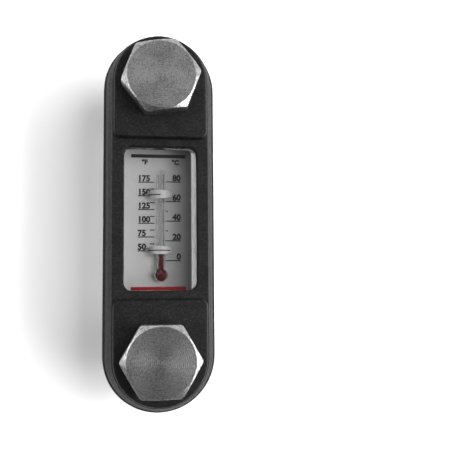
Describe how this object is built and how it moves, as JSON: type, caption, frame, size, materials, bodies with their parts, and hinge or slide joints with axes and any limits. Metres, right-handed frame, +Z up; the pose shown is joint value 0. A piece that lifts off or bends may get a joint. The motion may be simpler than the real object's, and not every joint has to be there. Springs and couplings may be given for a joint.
{
  "type": "tank level gauge",
  "caption": "Upright sight gauge with a thermometer and a printed scale, held to a tank wall by hollow hexagon bolts and flange nuts.",
  "frame": {"origin": "on the tank wall's outer face, midway between the two bolts", "axes": "+Z up the gauge through both bolts, front faces -Y, +Y into the tank along the bolts, X across"},
  "size_m": [0.032, 0.0421, 0.108],
  "materials": {
    "cover_nylon": "matte, fine grain",
    "clear_acrylic": "clear, faintly smoky",
    "scale_sheet": "satin white",
    "print_black": "printed",
    "print_red": "printed",
    "tube_glass": "clear",
    "red_spirit": "clear red liquid",
    "zinc_steel": "zinc plated, turned marks",
    "seal_rubber": "satin"
  },
  "bodies": {
    "root": {"cover": "cover_nylon", "sight_body": "clear_acrylic", "rear_plate": "clear_acrylic", "scale_plate": "scale_sheet", "scale_ticks": "print_black", "maximum_line": "print_black", "minimum_line": "print_red", "thermometer_tube": "tube_glass", "thermometer_spirit": "red_spirit", "upper_bolt": "zinc_steel", "lower_bolt": "zinc_steel", "upper_nut": "zinc_steel", "lower_nut": "zinc_steel", "upper_rear_seal": "seal_rubber", "lower_rear_seal": "seal_rubber", "upper_shank_seal": "seal_rubber", "lower_shank_seal": "seal_rubber"}
  },
  "joints": []
}
